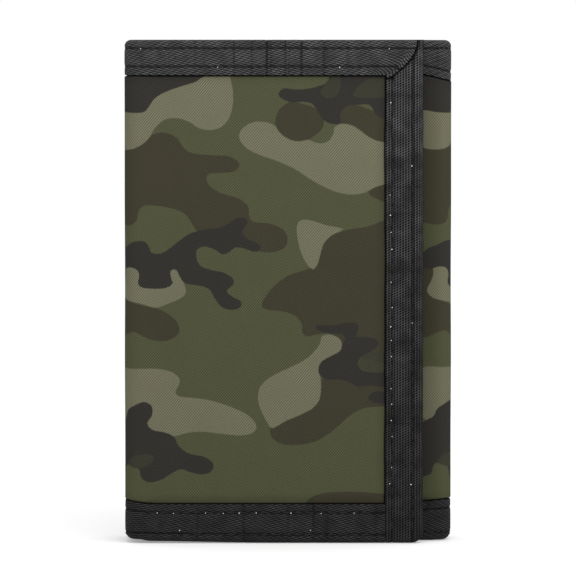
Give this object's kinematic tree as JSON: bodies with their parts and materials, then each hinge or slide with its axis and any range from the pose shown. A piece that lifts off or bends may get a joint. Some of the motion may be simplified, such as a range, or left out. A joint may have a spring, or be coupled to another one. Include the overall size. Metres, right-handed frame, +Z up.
{
  "type": "trifold wallet",
  "caption": "Closed trifold wallet of printed woven cloth bound with black tape, with folding leaves, card slots, ID window, zipped coin pocket and hook-and-loop closure.",
  "frame": {"origin": "middle of the closed wallet's footprint, on the surface that it stands on", "axes": "+Z up along the folds, +X to the right seen from the flap, -Y out of the flap's face"},
  "size_m": [0.0844, 0.0208, 0.13],
  "materials": {
    "printed_cloth": "matt woven cloth, printed in olive, brown, black and khaki",
    "binding_tape": "matt ribbed woven tape, near black",
    "lining_cloth": "smooth black lining",
    "pocket_cloth": "matt black pocket cloth",
    "stiffener_board": "plain grey board, hidden",
    "clear_film": "clear soft film",
    "zip_tape": "black woven zip tape",
    "zip_coil": "black nylon coil",
    "zip_metal": "dark plated metal",
    "closure_strip": "black hook or loop pile"
  },
  "bodies": {
    "back": {"back_outer_cloth": "printed_cloth", "back_stiffener": "stiffener_board", "back_bill_lining": "lining_cloth", "back_inner_lining": "lining_cloth", "back_top_binding": "binding_tape", "back_inner_top_binding": "binding_tape", "back_bottom_binding": "binding_tape", "back_card_slot": "pocket_cloth", "id_window_film": "clear_film", "id_window_frame": "pocket_cloth"},
    "left_spine": {"left_spine_outer_cloth": "printed_cloth", "left_spine_bill_lining": "lining_cloth", "left_spine_inner_lining": "lining_cloth", "left_spine_top_binding": "binding_tape", "left_spine_inner_top_binding": "binding_tape", "left_spine_bottom_binding": "binding_tape"},
    "flap": {"flap_outer_cloth": "printed_cloth", "flap_stiffener": "stiffener_board", "flap_bill_lining": "lining_cloth", "flap_inner_lining": "lining_cloth", "flap_card_slot_1": "pocket_cloth", "flap_card_slot_2": "pocket_cloth", "flap_card_slot_3": "pocket_cloth", "flap_top_binding": "binding_tape", "flap_inner_top_binding": "binding_tape", "flap_bottom_binding": "binding_tape", "flap_edge_binding": "binding_tape", "hook_strip": "closure_strip"},
    "right_spine": {"right_spine_outer_cloth": "printed_cloth", "right_spine_bill_lining": "lining_cloth", "right_spine_inner_lining": "lining_cloth", "right_spine_top_binding": "binding_tape", "right_spine_inner_top_binding": "binding_tape", "right_spine_bottom_binding": "binding_tape"},
    "tuck": {"tuck_outer_cloth": "printed_cloth", "tuck_stiffener": "stiffener_board", "tuck_bill_lining": "lining_cloth", "tuck_inner_lining": "lining_cloth", "tuck_top_binding": "binding_tape", "tuck_inner_top_binding": "binding_tape", "tuck_bottom_binding": "binding_tape", "tuck_edge_binding": "binding_tape", "loop_strip": "closure_strip", "coin_pocket_front": "pocket_cloth", "coin_pocket_band": "pocket_cloth", "zip_tape_lower": "zip_tape", "zip_tape_upper": "zip_tape", "zip_teeth_lower": "zip_coil", "zip_teeth_upper": "zip_coil", "zip_stop_fold_end": "zip_metal", "zip_stop_edge_end": "zip_metal"},
    "zip_slider": {"zip_slider": "zip_metal"},
    "zip_pull": {"zip_pull": "zip_metal"}
  },
  "joints": [
    {"name": "left_spine_fold", "type": "hinge", "parent": "back", "child": "left_spine", "pos_m": [-0.04143, 0.00965, 0.065], "axis": [0, 0, -1], "range_deg": [0, 90]},
    {"name": "flap_fold", "type": "hinge", "parent": "left_spine", "child": "flap", "pos_m": [-0.04143, -0.00965, 0.065], "axis": [0, 0, -1], "range_deg": [0, 90]},
    {"name": "right_spine_fold", "type": "hinge", "parent": "back", "child": "right_spine", "pos_m": [0.04143, 0.00965, 0.065], "axis": [0, 0, 1], "range_deg": [0, 45]},
    {"name": "tuck_fold", "type": "hinge", "parent": "right_spine", "child": "tuck", "pos_m": [0.04143, -0.0026, 0.065], "axis": [0, 0, 1], "range_deg": [0, 45]},
    {"name": "zip_slide", "type": "slide", "parent": "tuck", "child": "zip_slider", "axis": [1, 0, 0], "range_m": [0, 0.0285]},
    {"name": "zip_pull_swing", "type": "hinge", "parent": "zip_slider", "child": "zip_pull", "pos_m": [-0.0023, 0.0035, 0.1], "axis": [0, 1, 0], "range_deg": [-40, 40]}
  ],
  "couplings": [
    {"joint": "flap_fold", "follows": "left_spine_fold", "ratio": 1},
    {"joint": "right_spine_fold", "follows": "left_spine_fold", "ratio": 0.5},
    {"joint": "tuck_fold", "follows": "left_spine_fold", "ratio": 0.5}
  ]
}
